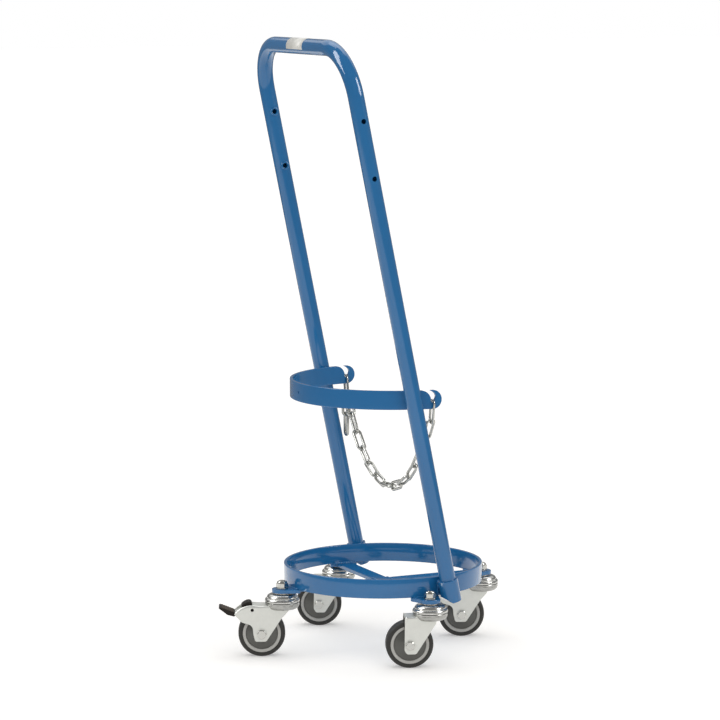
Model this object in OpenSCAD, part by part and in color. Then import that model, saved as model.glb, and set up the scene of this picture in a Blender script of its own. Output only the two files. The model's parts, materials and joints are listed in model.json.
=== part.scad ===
// Gas cylinder trolley. A bent tube handle stands in two sleeves on a ring base,
// flat cross bars carry the cylinder and four swivel casters, two of them braked,
// and a retaining band with a safety chain holds the cylinder upright.
// Millimetres, +Z up, +Y to the open side where the cylinder is loaded.

/* [Base] */
// Outer radius of the base ring
ring_r = 160; // [140:1:180]
// Height of the flat strip that the ring and the band are rolled from
strip_h = 30; // [28:1:36]
// Thickness of that strip
strip_t = 5; // [4:0.5:5.5]
// Width of the cross bars
bar_w = 25; // [20:1:32]
// Thickness of the cross bars
bar_t = 6; // [4:0.5:8]
// Distance from the ring's outer face to each swivel axis
swivel_out = 17; // [16:0.5:30]
// Diameter of the round caster tabs at the bars' ends
tab_d = 33; // [28:0.5:40]
// Width of the bars where they flare out under the ring
flare_w = 47; // [34:1:60]

/* [Handle] */
// Outside diameter of the handle tube
tube_d = 25.4; // [22:0.1:30]
// Wall of the handle tube
tube_wall = 2.3; // [1.5:0.1:3.5]
// Backward lean of the handle from upright, in degrees
lean = 11.43; // [8:0.01:13]
// Height of the top bar's axis above the floor
grip_z = 968.8; // [850:0.1:1100]
// Bend radius of the tube's axis at the two top corners
bend_r = 75; // [50:1:110]
// Forward place where the legs' axes would meet the floor
leg_foot_y = 58.6; // [50:0.1:66]
// Diameter of the cross holes through the legs
leg_hole_d = 8; // [5:0.5:12]
// Height of the upper cross holes
leg_hole_z = 859; // [780:1:870]
// Distance between the two cross holes, along the leg
leg_hole_pitch = 90; // [40:1:140]
// Wall of the sleeves that the legs plug into
sleeve_wall = 3; // [2.5:0.1:4]
// Length of the sleeves
sleeve_len = 35.5; // [30:0.5:60]
// Width of the welded joint between a sleeve and the ring
sleeve_gap = 2.5; // [1:0.1:4]
// Length of the blank label on the top bar
label_len = 72; // [30:1:120]

/* [Retaining band] */
// Height of the band's lower edge above the floor
band_z = 406.8; // [360:0.1:500]
// Forward place of the band's centre
band_y = 22; // [16:0.5:28]
// Forward place of the hooks' seats
hook_y = 10; // [4:0.5:14]
// Width of the hooks' slots
slot_w = 7; // [6:0.1:8]

/* [Chain] */
// Diameter of the chain's wire
wire_d = 4; // [3.5:0.1:4.2]
// Width inside a link
link_gap = 8; // [7.9:0.1:9]
// Length inside a link
link_len = 33.2; // [30:0.1:36]
// Number of links from hook to hook
link_count = 15; // [13:2:17]

/* [Casters] */
// Overall height of a caster, from the floor to the cross bars
caster_h = 102; // [99:0.5:120]
// Diameter of the wheels
wheel_d = 75; // [70:0.5:76]
// Width of the tyres
tyre_w = 25; // [20:0.5:25.5]
// Distance from a swivel axis back to its wheel's axle
trail = 33; // [31:0.5:36]
// Width over a fork
fork_w = 36; // [35.5:0.5:42]
// Thickness of a fork's sheet
fork_t = 2.5; // [1.5:0.1:2.7]
// Radius of a swivel head's rim
head_r = 28; // [26:0.5:32]
// Thread diameter of the bolts that hold the casters
king_d = 10; // [8:0.5:11]
// Thread diameter of the axles
axle_d = 8; // [6:0.5:9]
// Turn of the rear, right, front and left caster from straight back, in degrees
caster_turn = [-22.4, -20, -22, -23.5]; // [-45:0.1:45]

/* [Footprint] */
// Sideways place of the ring's axis from the middle of the footprint
ring_x = 5.6; // [-20:0.1:20]
// Forward place of the ring's axis from the middle of the footprint
ring_y = 35.8; // [0:0.1:80]

/* [Hidden] */
$fn = 64;

// Colours of the finishes
paint = [0.22, 0.42, 0.60];
zinc = [0.80, 0.81, 0.80];
bright_zinc = [0.72, 0.73, 0.72];
tyre_rubber = [0.21, 0.21, 0.20];
core_plastic = [0.57, 0.57, 0.55];
guard_plastic = [0.38, 0.38, 0.37];
pedal_plastic = [0.20, 0.17, 0.15];
label_white = [0.90, 0.89, 0.86];

// Fits, each on the radius or on one side
running = 0.05;
slip = 0.2;
touch = 0.05;

// Heights of the base
bar_top = caster_h + bar_t;
ring_top = bar_top + strip_h;
swivel_reach = ring_r + swivel_out;

// The handle's own frame leans back about the line where the legs would meet the floor.
// Its up axis runs along the legs, so heights along a leg are divided by the lean's cosine.
tube_r = tube_d / 2;
sleeve_bore = tube_r + slip;
sleeve_r = sleeve_bore + sleeve_wall;
function leg_y(z) = leg_foot_y - z * tan(lean);
function along_leg(z) = z / cos(lean);
leg_x = sqrt(pow(ring_r + sleeve_r + sleeve_gap, 2) - pow(leg_y(ring_top), 2));
grip_s = along_leg(grip_z);
sleeve_s = along_leg(caster_h - 1);
sleeve_chamfer = 11;
leg_bottom_s = sleeve_s + sleeve_chamfer + 1;
weld_w = 9;
weld_low_s = along_leg(bar_top + 3);
weld_top_s = sleeve_s + sleeve_len - 2;
label_t = 0.2;
label_sweep = 140;
label_turn = -40;

// The band lies against the inner side of both legs
band_mid_z = band_z + strip_h / 2;
band_r = norm([leg_x, leg_y(band_z) - band_y]) - tube_r / cos(lean) - touch;
hook_r = strip_h / 2;
hook_x = sqrt(pow(band_r - strip_t / 2, 2) - pow(band_y - hook_y, 2));
band_top = band_z + strip_h;
seat_z = band_mid_z - 1.3;
// The nose ends on the hook's round at this turn, and the shoulder behind the slot falls away to its seat
nose_turn = 119;
// The slot's wall runs on to just inside the seat, so that the two cross rather than touch
nose_foot_turn = 40;
nose_foot_r = slot_w / 2 - 0.2;
shoulder_r = 17;
shoulder_end = 15;
shoulder_y = hook_y - slot_w / 2 - shoulder_r * cos(shoulder_end);
band_hole_d = 4;

// One link: the centre line of its wire is a slot shape of half width link_w and half length link_h
link_play = 0.3;
link_w = (link_gap + wire_d) / 2;
link_h = (link_len + wire_d) / 2;
link_pitch = link_len - link_play;
// The hooked links lean in, shifted outwards on the strip that they straddle
hooked_lean = 8;
hooked_shift = 1.2;
hooked_rise = 1.7;
hooked_top = [hook_x + hooked_shift, seat_z - slot_w / 2 + wire_d / 2 + hooked_rise];
hooked_along = [-sin(hooked_lean), -cos(hooked_lean)];
hooked_across = [-cos(hooked_lean), sin(hooked_lean)];
hooked_low = hooked_top + (2 * link_h - link_w) * hooked_along;
// The next link rests low on the inner side of the hooked link's bend
next_across = 1.2;
next_drop = 1.4;
next_lean = 27;
next_top = hooked_low + next_across * hooked_across + next_drop * hooked_along;
span_end = next_top + (wire_d + link_play) / 2 * [-sin(next_lean), -cos(next_lean)];
// The spare end of the chain hangs from the outer side of the same bend
tail_across = -1.85;
tail_rise = 1.5;
tail_top = hooked_low + tail_across * hooked_across - tail_rise * hooked_along;

// The links between the two hooked ones hang on a catenary
function sinh(x) = (exp(x) - exp(-x)) / 2;
function asinh(x) = ln(x + sqrt(x * x + 1));
function catenary(half_span, half_len, low, high, steps) =
    let (mid = (low + high) / 2)
    steps == 0 ? mid
    : mid * sinh(half_span / mid) > half_len ? catenary(half_span, half_len, mid, high, steps - 1)
    : catenary(half_span, half_len, low, mid, steps - 1);
span_links = link_count - 2;
span_half_len = span_links * link_pitch / 2;
sag = catenary(span_end[0], span_half_len, span_end[0] / 20, span_end[0] * 20, 50);
sag_base = span_end[1] - sqrt(sag * sag + span_half_len * span_half_len);
function joint_point(k) =
    let (s = (k - span_links / 2) * link_pitch)
    [sag * asinh(s / sag), sag_base + sqrt(sag * sag + s * s)];

// Heights and radii of a caster, from its top down
wheel_r = wheel_d / 2;
fork_half = fork_w / 2;
fork_in = fork_half - fork_t;
king_r = king_d / 2;
pin_r = king_r + 2.5;
dome_r = 11;
dome_z = caster_h - 14;
head_low = dome_z - 0.6;
bowl_top = head_low - 0.4;
bowl_inset = 1.6;
bowl_r = 10;
bowl_low = bowl_top - bowl_r;
race_r = head_r - 9.5;
ball_r = 4;
ball_count = 12;
race_z = (head_low + bowl_top) / 2;
flange_t = 1.6;
flange_low = bowl_low - slip - flange_t;
crown_top = caster_h - 19;
boss_r = head_r - 15;
king_af = 1.7 * king_d;
king_head_h = 0.5 * king_d;
washer_r = king_d;
washer_t = 2;
nut_h = king_d;
axle_af = 1.625 * axle_d;
axle_r = axle_d / 2;
axle_head_h = 0.625 * axle_d;
axle_nut_h = 0.9 * axle_d;
bush_r = axle_r + 2;
bush_half = fork_in - touch;
hub_half = fork_in - 0.9;
core_r = wheel_r - 6.3;
rim_in = core_r - 5.7;
rim_half = tyre_w / 2 - 0.5;
guard_r = rim_in - 0.3;
axle_at = [trail, wheel_r];

// Brake, in the plane of its wheel: along the trail and up
brake_pin_r = 2.45;
brake_pivot = axle_at + [15, wheel_r + 1.5];
shoe_r = wheel_r + 3.5;
lever_half = fork_in - 0.3;
ear_in = tyre_w / 2 + 0.3;
pad_root = brake_pivot + [1, 3];
pad_end = brake_pivot + [15.8, 0];
pedal_root = brake_pivot + [27.5, -5.5];
pad_half = ear_in - 0.3;
pedal_half = lever_half - 0.3;

CASTERS = ["rear", "right", "front", "left"];
arm_angle = [-90, 0, 90, 180];
BRAKED = [0, 2];

function arc(centre, r, from, to, steps = 8) =
    [for (i = [0:steps]) let (a = from + (to - from) * i / steps) centre + r * [cos(a), sin(a)]];

// Places

module on_ring_axis() {
    translate([ring_x, ring_y, 0]) children();
}

module in_handle_frame() {
    on_ring_axis() translate([0, leg_foot_y, 0]) rotate([lean, 0, 0]) children();
}

// Along X is a caster's trail, along Y its axle
module at_caster(i) {
    on_ring_axis()
        rotate([0, 0, arm_angle[i]]) translate([swivel_reach, 0, 0])
            rotate([0, 0, caster_turn[i] - 90 - arm_angle[i]]) children();
}

// A shape drawn in the plane of the wheel, between two distances along the axle
module beside_wheel(from, to) {
    translate([0, to, 0]) rotate([90, 0, 0]) linear_extrude(to - from) children();
}

// A shape turned about the axle, with its own X as the radius and Y along the axle
module about_axle() {
    translate([trail, 0, wheel_r]) rotate([-90, 0, 0]) rotate_extrude() children();
}

module hex(af, h) {
    cylinder(r = af / sqrt(3), h = h, $fn = 6);
}

// Base

module base_ring() {
    color(paint) on_ring_axis() translate([0, 0, bar_top]) difference() {
        cylinder(r = ring_r, h = strip_h);
        translate([0, 0, -1]) cylinder(r = ring_r - strip_t, h = strip_h + 2);
    }
}

// One flat bar along X that flares out under the ring and ends in a round drilled tab for a caster
module bar_arm(from) {
    ring_in = ring_r - strip_t;
    translate([0, 0, caster_h]) difference() {
        union() {
            translate([from, -bar_w / 2, 0]) cube([swivel_reach - from, bar_w, bar_t]);
            linear_extrude(bar_t) polygon([
                [ring_in, -flare_w / 2], [ring_r, -flare_w / 2], [swivel_reach, -tab_d / 2],
                [swivel_reach, tab_d / 2], [ring_r, flare_w / 2], [ring_in, flare_w / 2]
            ]);
            translate([swivel_reach, 0, 0]) cylinder(d = tab_d, h = bar_t);
        }
        translate([swivel_reach, 0, -1]) cylinder(r = king_r + slip, h = bar_t + 2);
    }
}

module cross_bar_side() {
    color(paint) on_ring_axis() union() {
        bar_arm(0);
        rotate([0, 0, 180]) bar_arm(0);
    }
}

module cross_bar_front() {
    color(paint) on_ring_axis() rotate([0, 0, 90]) bar_arm(bar_w / 2);
}

module cross_bar_rear() {
    color(paint) on_ring_axis() rotate([0, 0, -90]) bar_arm(bar_w / 2);
}

// A blind sleeve, with its lower rear corner cut off and a weld that fills the gap to the ring
module sleeve(side) {
    weld_reach = sleeve_r + 2 * sleeve_gap;
    color(paint) difference() {
        in_handle_frame() translate([side * leg_x, 0, 0]) difference() {
            union() {
                translate([0, 0, sleeve_s]) cylinder(r = sleeve_r, h = sleeve_len);
                translate([side > 0 ? -weld_reach : 0, -weld_w, weld_low_s])
                    cube([weld_reach, weld_w, weld_top_s - weld_low_s]);
            }
            translate([0, 0, leg_bottom_s]) cylinder(r = sleeve_bore, h = sleeve_len);
            translate([0, -sleeve_r, sleeve_s + sleeve_chamfer]) rotate([-45, 0, 0])
                translate([-sleeve_r, -sleeve_r, -2 * sleeve_r]) cube(2 * sleeve_r);
        }
        on_ring_axis() cylinder(r = ring_r + touch, h = 2 * ring_top);
    }
}

module sleeve_left() {
    sleeve(-1);
}

module sleeve_right() {
    sleeve(1);
}

// Handle

// One straight leg with its cross holes
module handle_leg() {
    bottom = leg_bottom_s + touch;
    difference() {
        translate([0, 0, bottom]) cylinder(r = tube_r, h = grip_s - bend_r - bottom);
        translate([0, 0, bottom - 1]) cylinder(r = tube_r - tube_wall, h = grip_s - bend_r - bottom + 2);
        for (row = [0, 1])
            translate([-tube_d, 0, along_leg(leg_hole_z) - row * leg_hole_pitch])
                rotate([0, 90, 0]) cylinder(d = leg_hole_d, h = 2 * tube_d);
    }
}

module tube_section() {
    difference() {
        circle(r = tube_r);
        circle(r = tube_r - tube_wall);
    }
}

// Two legs, two bends and the top bar, as one bent tube
module handle_tube() {
    grip_half = leg_x - bend_r;
    color(paint) in_handle_frame() union() {
        for (side = [-1, 1]) {
            translate([side * leg_x, 0, 0]) handle_leg();
            translate([side * grip_half, 0, grip_s - bend_r]) rotate([90, 0, 0])
                rotate([0, 0, side > 0 ? 0 : 90]) rotate_extrude(angle = 90) translate([bend_r, 0]) tube_section();
        }
        translate([-grip_half, 0, grip_s]) rotate([0, 90, 0]) linear_extrude(2 * grip_half) tube_section();
    }
}

// A thin sheet wrapped over the back and top of the top bar
module blank_label() {
    color(label_white) in_handle_frame() translate([-label_len / 2, 0, grip_s])
        rotate([0, 90, 0]) rotate([0, 0, 180 + label_turn]) rotate_extrude(angle = label_sweep)
            translate([tube_r + 0.02, 0]) square([label_t, label_len]);
}

// Retaining band

// What is cut from the strip's ends, seen from the side: forward and up
module hook_cut() {
    difference() {
        translate([hook_y, band_z - 1]) square([4 * hook_r, strip_h + 2]);
        translate([hook_y, band_mid_z]) circle(r = hook_r);
    }
    translate([hook_y, seat_z]) circle(d = slot_w);
    polygon(concat(
        [[hook_y, seat_z], [hook_y - slot_w / 2, seat_z]],
        arc([shoulder_y, band_top - shoulder_r], shoulder_r, shoulder_end, 90),
        [[shoulder_y, band_top + 1], [hook_y, band_top + 1]],
        arc([hook_y, band_mid_z], hook_r, 90, nose_turn, 4),
        [[hook_y, seat_z] + nose_foot_r * [cos(nose_foot_turn), sin(nose_foot_turn)]]
    ));
}

module retaining_band() {
    color(paint) on_ring_axis() difference() {
        union() {
            translate([0, band_y, band_z]) rotate([0, 0, 180]) rotate_extrude(angle = 180)
                translate([band_r - strip_t, 0]) square([strip_t, strip_h]);
            for (side = [-1, 1])
                translate([side * (band_r - strip_t / 2) - strip_t / 2, band_y, band_z])
                    cube([strip_t, hook_r, strip_h]);
        }
        translate([band_r + 1, 0, 0]) rotate([90, 0, -90])
            mirror([1, 0, 0]) linear_extrude(2 * band_r + 2) hook_cut();
        translate([0, band_y, band_mid_z]) rotate([90, 0, 0]) cylinder(d = band_hole_d, h = 2 * band_r);
    }
}

// Chain

// A link with its axis along Z, its width along X and its middle at the origin
module link() {
    straight = link_h - link_w;
    for (end = [0, 180])
        rotate([0, end, 0]) translate([0, 0, straight]) rotate([90, 0, 0])
            rotate_extrude(angle = 180) translate([link_w, 0]) circle(d = wire_d, $fn = 24);
    for (side = [-1, 1])
        translate([side * link_w, 0, -straight]) cylinder(d = wire_d, h = 2 * straight, $fn = 24);
}

// A link between two points of the chain's plane, edge on where turned is true
module link_between(a, b, turned) {
    mid = (a + b) / 2;
    translate([mid[0], hook_y, mid[1]]) rotate([0, 90 - atan2(b[1] - a[1], b[0] - a[0]), 0])
        rotate([0, 0, turned ? 90 : 0]) link();
}

module hooked_link(side) {
    mid = hooked_top + link_h * hooked_along;
    translate([side * mid[0], hook_y, mid[1]]) rotate([0, side * hooked_lean, 0]) link();
}

module safety_chain() {
    color(bright_zinc) on_ring_axis() {
        for (side = [-1, 1]) hooked_link(side);
        for (k = [0:span_links - 1]) link_between(joint_point(k), joint_point(k + 1), k % 2 == 0);
    }
}

module chain_tail() {
    color(bright_zinc) on_ring_axis() for (k = [0, 1])
        translate([-tail_top[0], hook_y, tail_top[1] - link_h - k * link_pitch])
            rotate([0, 0, k == 0 ? 90 : 0]) link();
}

// Caster fasteners

module caster_bolts() {
    color(zinc) for (i = [0:3]) at_caster(i) union() {
        translate([0, 0, flange_low - king_head_h]) hex(king_af, king_head_h);
        translate([0, 0, flange_low - 0.5])
            cylinder(r = king_r, h = bar_top + washer_t + nut_h + 1.5 - flange_low);
    }
}

module caster_washers() {
    color(zinc) for (i = [0:3]) at_caster(i) translate([0, 0, bar_top]) difference() {
        cylinder(r = washer_r, h = washer_t);
        translate([0, 0, -1]) cylinder(r = king_r + slip, h = washer_t + 2);
    }
}

// A hexagon with a round locking collar on top
module lock_nuts() {
    collar = 0.3 * nut_h;
    color(zinc) for (i = [0:3]) at_caster(i) translate([0, 0, bar_top + washer_t]) difference() {
        union() {
            hex(king_af, nut_h - collar);
            cylinder(d = king_af - 1, h = nut_h);
        }
        translate([0, 0, -1]) cylinder(r = king_r + running, h = nut_h + 2);
    }
}

module race_balls() {
    color(zinc) for (i = [0:3], k = [0:ball_count - 1])
        at_caster(i) rotate([0, 0, 360 * k / ball_count]) translate([race_r, 0, race_z]) sphere(r = ball_r, $fn = 24);
}

// Caster

module race_groove() {
    translate([race_r, race_z]) circle(r = ball_r + 0.1);
}

// The fixed dome, its boss and the hollow pin that the fork turns on
module swivel_head(i) {
    color(bright_zinc) at_caster(i) rotate_extrude() difference() {
        polygon(concat(
            [[king_r + running, caster_h], [boss_r, caster_h], [boss_r, dome_z + dome_r]],
            arc([head_r - dome_r, dome_z], dome_r, 90, 0),
            [[head_r, head_low], [pin_r, head_low], [pin_r, bowl_low - slip],
             [pin_r + 4, bowl_low - slip], [pin_r + 4, flange_low], [king_r + running, flange_low]]
        ));
        race_groove();
    }
}

// The turned bowl under the dome, solid apart from its race and the hole for the pin
module fork_bowl() {
    bowl_rim = head_r - bowl_inset;
    rotate_extrude() difference() {
        polygon(concat(
            [[0, bowl_low], [bowl_rim - bowl_r, bowl_low]],
            arc([bowl_rim - bowl_r, bowl_top], bowl_r, -90, 0),
            [[0, bowl_top]]
        ));
        race_groove();
    }
}

// Outline of a plain cheek: a straight back edge, a cut corner and a long slanting front edge
module plain_cheek() {
    polygon([
        [-10, crown_top], [trail + 8, crown_top], [trail + 9, wheel_r - 8], [trail + 5, wheel_r - 14],
        [trail - 9.5, wheel_r - 14], [-8, crown_top - 11]
    ]);
}

// Outline of a braked cheek: it reaches back and up to carry the lever, with a hollow behind the axle
module braked_cheek() {
    polygon(concat(
        [[-10, crown_top], [trail + 8, crown_top], brake_pivot + [5, 7.5], brake_pivot + [15, 5.5],
         brake_pivot + [25, -2.5], brake_pivot + [28.5, -6], brake_pivot + [26, -9.5],
         brake_pivot + [17, -19.5]],
        arc(axle_at + [24, 6.5], 10, 110, 180, 5),
        [axle_at + [13.5, 0], axle_at + [11, -10.5], axle_at + [10, -11.5], axle_at + [-7.5, -11.5],
         [1.5, crown_top - 20.3], [-8, crown_top - 11]]
    ));
}

module fork(i, braked) {
    crown_back = braked ? 18 : 15;
    color(zinc) at_caster(i) difference() {
        union() {
            fork_bowl();
            translate([-10, -fork_half, crown_top - fork_t]) cube([trail + crown_back, fork_w, fork_t]);
            for (from = [-fork_half, fork_in])
                beside_wheel(from, from + fork_t) {
                    if (braked) braked_cheek();
                    else plain_cheek();
                }
        }
        // Room for the bowl's race inside the crown plate and the cheeks
        rotate_extrude() race_groove();
        translate([0, 0, bowl_low - 1]) cylinder(r = pin_r + running, h = bowl_r + 2);
        translate([-fork_w, -fork_w, bowl_top]) cube([2 * fork_w - 12, 2 * fork_w, bowl_r]);
        beside_wheel(-fork_w, fork_w) translate(axle_at) circle(r = axle_r + running);
        if (braked) beside_wheel(-fork_w, fork_w) translate(brake_pivot) circle(r = brake_pin_r + running);
    }
}

// A hexagon bolt through the fork, with its nut as a second solid
module axle(i) {
    color(zinc) at_caster(i) translate([trail, 0, wheel_r]) rotate([90, 0, 0]) {
        union() {
            translate([0, 0, -fork_half - axle_head_h]) hex(axle_af, axle_head_h);
            translate([0, 0, -fork_half - 1]) cylinder(r = axle_r, h = fork_w + axle_nut_h + 2);
        }
        translate([0, 0, fork_half]) difference() {
            hex(axle_af, axle_nut_h);
            translate([0, 0, -1]) cylinder(r = axle_r + running, h = axle_nut_h + 2);
        }
    }
}

module wheel_bush(i) {
    color(zinc) at_caster(i) about_axle() translate([axle_r + running, -bush_half])
        square([bush_r - axle_r - running, 2 * bush_half]);
}

// Two dished discs that keep thread out of the hub
module thread_guards(i) {
    color(guard_plastic) at_caster(i) for (side = [0, 1]) about_axle() mirror([0, side]) polygon([
        [bush_r + 0.1, hub_half + 0.15], [bush_r + 0.1, fork_in - 0.15], [bush_r + 6, fork_in - 0.15],
        [guard_r - 6, rim_half - 1.5], [guard_r, rim_half - 1.2], [guard_r, rim_half - 2.2],
        [guard_r - 6, rim_half - 2.6], [bush_r + 6, hub_half + 0.15]
    ]);
}

// Hub, web and rim in one moulding
module wheel_core(i) {
    hub_r = bush_r + 5.4;
    web = 3;
    color(core_plastic) at_caster(i) about_axle() polygon([
        [bush_r + running, -hub_half], [hub_r, -hub_half], [hub_r + 2, -web], [rim_in, -web],
        [rim_in, 1 - rim_half], [rim_in + 1, -rim_half], [core_r, -rim_half],
        [core_r, rim_half], [rim_in + 1, rim_half], [rim_in, rim_half - 1],
        [rim_in, web], [hub_r + 2, web], [hub_r, hub_half], [bush_r + running, hub_half]
    ]);
}

// A tread with well rounded shoulders
module tyre(i) {
    shoulder = 5;
    color(tyre_rubber) at_caster(i) about_axle() polygon(concat(
        [[core_r + touch, -tyre_w / 2]],
        arc([wheel_r - shoulder, shoulder - tyre_w / 2], shoulder, -90, 0),
        arc([wheel_r - shoulder, tyre_w / 2 - shoulder], shoulder, 0, 90),
        [[core_r + touch, tyre_w / 2]]
    ));
}

// Brake

// The lever's tongue that the pedal is moulded over
module pedal_tongue() {
    polygon([pedal_root, pedal_root + [9, 3], pedal_root + [10, 0.5], pedal_root + [-0.5, -3]]);
}

// A pressed lever: a block over the tyre with a curved shoe below, and two ears on the pivot
module brake_lever(i) {
    color(zinc) at_caster(i) difference() {
        union() {
            beside_wheel(-lever_half, lever_half) {
                polygon(concat(
                    [pad_root, pad_end, pedal_root, pedal_root + [-0.5, -3], pedal_root + [-2, -6]],
                    arc(axle_at, shoe_r, 36, 58, 6),
                    [brake_pivot + [4.5, -1]]
                ));
                pedal_tongue();
            }
            for (from = [-lever_half, ear_in])
                beside_wheel(from, from + lever_half - ear_in) translate(brake_pivot) circle(r = 5);
        }
        beside_wheel(-fork_w, fork_w) translate(brake_pivot) circle(r = brake_pin_r + running);
    }
}

// The outer tread, pressed down to lock
module brake_pedal(i) {
    color(pedal_plastic) at_caster(i) beside_wheel(-pedal_half, pedal_half) difference() {
        polygon([
            pedal_root + [26.1, 8.6], pedal_root + [24.6, 10.4], pedal_root + [22.5, 10.1],
            pedal_root + [0.2, 1.4], pedal_root + [-0.8, -3.5], pedal_root + [1.5, -5.2], pedal_root + [11.9, -2.4]
        ]);
        pedal_tongue();
        polygon([pedal_root, pedal_root + [-0.5, -3], pedal_root + [-2, -6], pedal_root + [-6, 4]]);
    }
}

// The upper pad, pressed to let the wheel go
module release_pad(i) {
    color(pedal_plastic) at_caster(i) beside_wheel(-pad_half, pad_half) polygon(concat(
        [pad_end, pad_root],
        arc(pad_root + [3.9, 3], 4.1, 170, 60, 5)
    ));
}

module brake_pin(i) {
    color(zinc) at_caster(i) beside_wheel(-fork_half, fork_half) translate(brake_pivot) difference() {
        circle(r = brake_pin_r);
        circle(r = brake_pin_r - 0.8);
    }
}

base_ring();
cross_bar_side();
cross_bar_front();
cross_bar_rear();
sleeve_left();
sleeve_right();
handle_tube();
blank_label();
retaining_band();
safety_chain();
chain_tail();
caster_bolts();
caster_washers();
lock_nuts();
race_balls();
for (i = [0:3]) {
    swivel_head(i);
    fork(i, len(search(i, BRAKED)) > 0);
    axle(i);
    wheel_bush(i);
    thread_guards(i);
    wheel_core(i);
    tyre(i);
}
for (i = BRAKED) {
    brake_lever(i);
    brake_pedal(i);
    release_pad(i);
    brake_pin(i);
}
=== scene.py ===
# %% [markdown]
# # A gas cylinder trolley
# The trolley holds one gas cylinder upright. Its CAD model gives every piece its place and its joints.
# This lesson dresses that model: rounded edges, pressed sheet, welds and the finishes that light shows.
# The CAD frame is loaded first, because every new piece takes its place from it.

# %% Load the frame
import json
import math

import bpy
import numpy as np
from mathutils import Matrix, Vector


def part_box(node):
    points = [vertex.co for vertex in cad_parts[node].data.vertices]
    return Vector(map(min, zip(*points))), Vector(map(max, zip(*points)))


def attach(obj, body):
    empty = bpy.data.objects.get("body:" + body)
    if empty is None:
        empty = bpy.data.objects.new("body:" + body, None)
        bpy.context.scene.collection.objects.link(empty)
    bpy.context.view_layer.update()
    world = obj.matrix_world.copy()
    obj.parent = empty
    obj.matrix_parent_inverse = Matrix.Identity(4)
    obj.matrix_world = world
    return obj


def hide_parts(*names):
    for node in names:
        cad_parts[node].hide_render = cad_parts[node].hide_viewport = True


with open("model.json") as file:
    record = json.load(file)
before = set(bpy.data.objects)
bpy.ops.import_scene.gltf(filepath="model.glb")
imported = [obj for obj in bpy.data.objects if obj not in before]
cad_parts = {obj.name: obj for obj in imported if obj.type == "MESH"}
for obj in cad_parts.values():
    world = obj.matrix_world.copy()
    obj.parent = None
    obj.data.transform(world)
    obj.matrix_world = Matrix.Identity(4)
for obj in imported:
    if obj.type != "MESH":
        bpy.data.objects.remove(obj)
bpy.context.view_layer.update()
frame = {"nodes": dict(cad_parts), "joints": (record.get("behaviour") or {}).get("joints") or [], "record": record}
joint = {j["name"]: j for j in frame["joints"]}
bodies = frame["record"]["behaviour"]["bodies"]
body_of_node = {node: body for body, nodes in bodies.items() for node in nodes}
MM = 0.001

# %% [markdown]
# ## Camera
# The photograph was taken with a long lens from the right and a little behind, from just above the grip.
# A camera could be aimed by eye, but the exact place and turn make the render lie on the photograph,
# so they are written as a point and three angles. The columns of its matrix are right, up and backwards.

# %% Camera
EYE = Vector((4668.7, -2102.8, 1121.8)) * MM
HEADING = math.radians(155.758)
DIP = math.radians(-7.292)
ROLL = math.radians(-0.281)
LENS = 161.23

look = Vector((math.cos(DIP) * math.cos(HEADING), math.cos(DIP) * math.sin(HEADING), math.sin(DIP)))
level_right = look.cross(Vector((0, 0, 1))).normalized()
level_up = level_right.cross(look)
right = math.cos(ROLL) * level_right + math.sin(ROLL) * level_up
up = math.cos(ROLL) * level_up - math.sin(ROLL) * level_right

bpy.ops.object.camera_add()
camera = bpy.context.object
camera.matrix_world = Matrix.Translation(EYE) @ Matrix((right, up, -look)).transposed().to_4x4()
camera.data.lens = LENS
camera.data.sensor_width = 36
camera.data.clip_end = 50
bpy.context.scene.camera = camera
bpy.context.scene.view_settings.view_transform = "Standard"
print("camera at", tuple(round(c, 3) for c in EYE))

# %% [markdown]
# ## Shader expressions
# A finish mixes noises and masks by arithmetic. Wiring each Math node by hand hides the formula, so a small
# class wraps a socket: adding or multiplying two of them adds the node. Every other node comes from one
# method, and the methods below it give the nodes of these finishes a short name.


# %% A socket that takes part in expressions
class Wire:
    """An output socket that can be used in Python arithmetic."""

    def __init__(self, socket):
        self.socket = socket

    def node(self, kind, settings=None, inputs=None, output=0):
        """Adds a node to the same tree, sets it up, feeds its sockets and gives one of its outputs."""
        tree = self.socket.id_data
        made = tree.nodes.new(kind)
        for name, value in (settings or {}).items():
            setattr(made, name, value)
        for name, value in (inputs or {}).items():
            if isinstance(value, Wire):
                tree.links.new(value.socket, made.inputs[name])
            else:
                made.inputs[name].default_value = value
        return Wire(made.outputs[output])

    def __add__(self, other):
        return self.node("ShaderNodeMath", {"operation": "ADD"}, {0: self, 1: other})

    __radd__ = __add__

    def __mul__(self, other):
        return self.node("ShaderNodeMath", {"operation": "MULTIPLY"}, {0: self, 1: other})

    __rmul__ = __mul__

    def ramp(self, low, high):
        """0 below low, 1 above high and a smooth rise between."""
        inputs = {"Value": self, "From Min": low, "From Max": high}
        return self.node("ShaderNodeMapRange", {"interpolation_type": "SMOOTHSTEP"}, inputs)

    def noise(self, scale, detail=2.0, rough=0.5):
        inputs = {"Vector": self, "Scale": scale, "Detail": detail, "Roughness": rough}
        return self.node("ShaderNodeTexNoise", None, inputs)

    def stretched(self, x, y, z):
        return self.node("ShaderNodeMapping", None, {"Vector": self, "Scale": (x, y, z)})

    def mix(self, first, second):
        """A colour between two, with this value as the share of the second."""
        sockets = {0: self, 6: first, 7: second}
        return self.node("ShaderNodeMix", {"data_type": "RGBA"}, sockets, 2)

    def bump(self, strength, distance):
        inputs = {"Height": self, "Strength": strength, "Distance": distance}
        return self.node("ShaderNodeBump", None, inputs)


# %% Colours and finishes
def srgb(red, green, blue):
    """A colour as a picture editor shows it, turned into the linear values that shaders use."""
    return tuple(((c / 255 + 0.055) / 1.055) ** 2.4 for c in (red, green, blue)) + (1.0,)


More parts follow.
